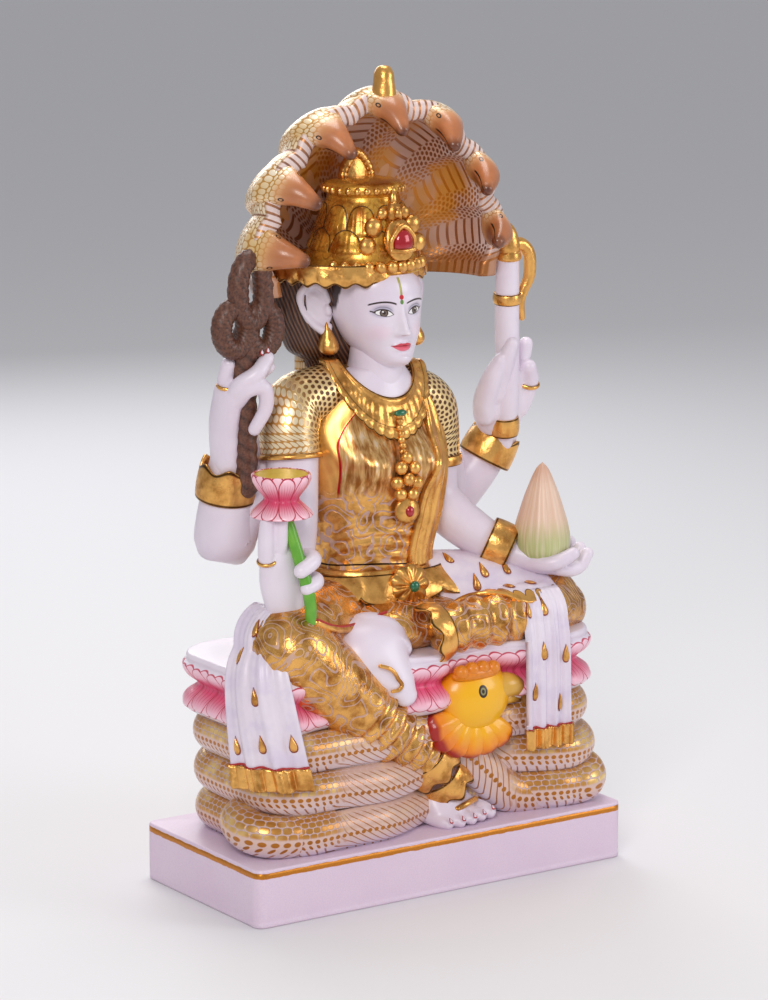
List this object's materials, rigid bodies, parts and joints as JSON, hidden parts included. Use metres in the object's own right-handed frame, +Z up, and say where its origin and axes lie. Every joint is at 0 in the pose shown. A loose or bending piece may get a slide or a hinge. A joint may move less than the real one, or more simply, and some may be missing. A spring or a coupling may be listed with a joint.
{
  "type": "marble goddess idol",
  "caption": "Seated four-armed goddess idol on a lotus and coiled serpent, under a serpent hood, carved with its rectangular plinth.",
  "frame": {"origin": "middle of the plinth's underside", "axes": "+Z up; the goddess faces -Y and her left hand is towards +X"},
  "size_m": [0.33, 0.1584, 0.61],
  "materials": {
    "marble": "polished white marble, painted and gilded"
  },
  "bodies": {
    "root": {"marble_idol": "marble"}
  },
  "joints": []
}
